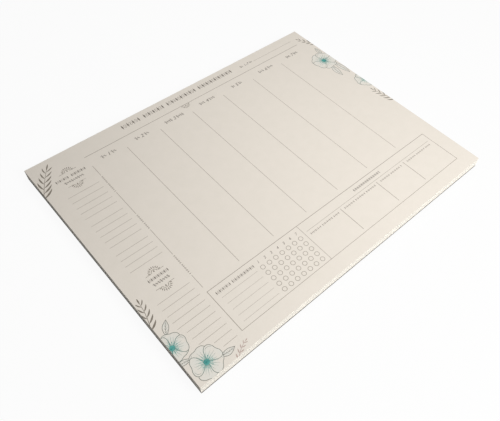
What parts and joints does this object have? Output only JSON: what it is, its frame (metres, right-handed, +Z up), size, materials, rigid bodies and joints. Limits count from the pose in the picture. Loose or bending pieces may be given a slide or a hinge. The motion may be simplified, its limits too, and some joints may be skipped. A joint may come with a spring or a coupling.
{
  "type": "weekly planner notepad",
  "caption": "Landscape tear-off notepad: a flat block of printed weekly planner sheets on a stiff grey backing board, glued together along the header edge.",
  "frame": {"origin": "under the middle of the pad's box, at the height of the surface it lies on", "axes": "+X along the header, from the page's left side to its right; +Y towards the header, which is the bound edge; +Z up, out of the printed page"},
  "size_m": [0.2794, 0.2162, 0.0095],
  "materials": {
    "paper": "uncoated, matt",
    "greyboard": "unlined recycled board, matt",
    "padding_glue": "dried white glue film, satin",
    "printed_ink": "offset ink soaked into the paper, matt"
  },
  "bodies": {
    "root": {"tear_off_sheets": "paper", "backing_board": "greyboard", "glue_binding": "padding_glue"}
  },
  "joints": []
}
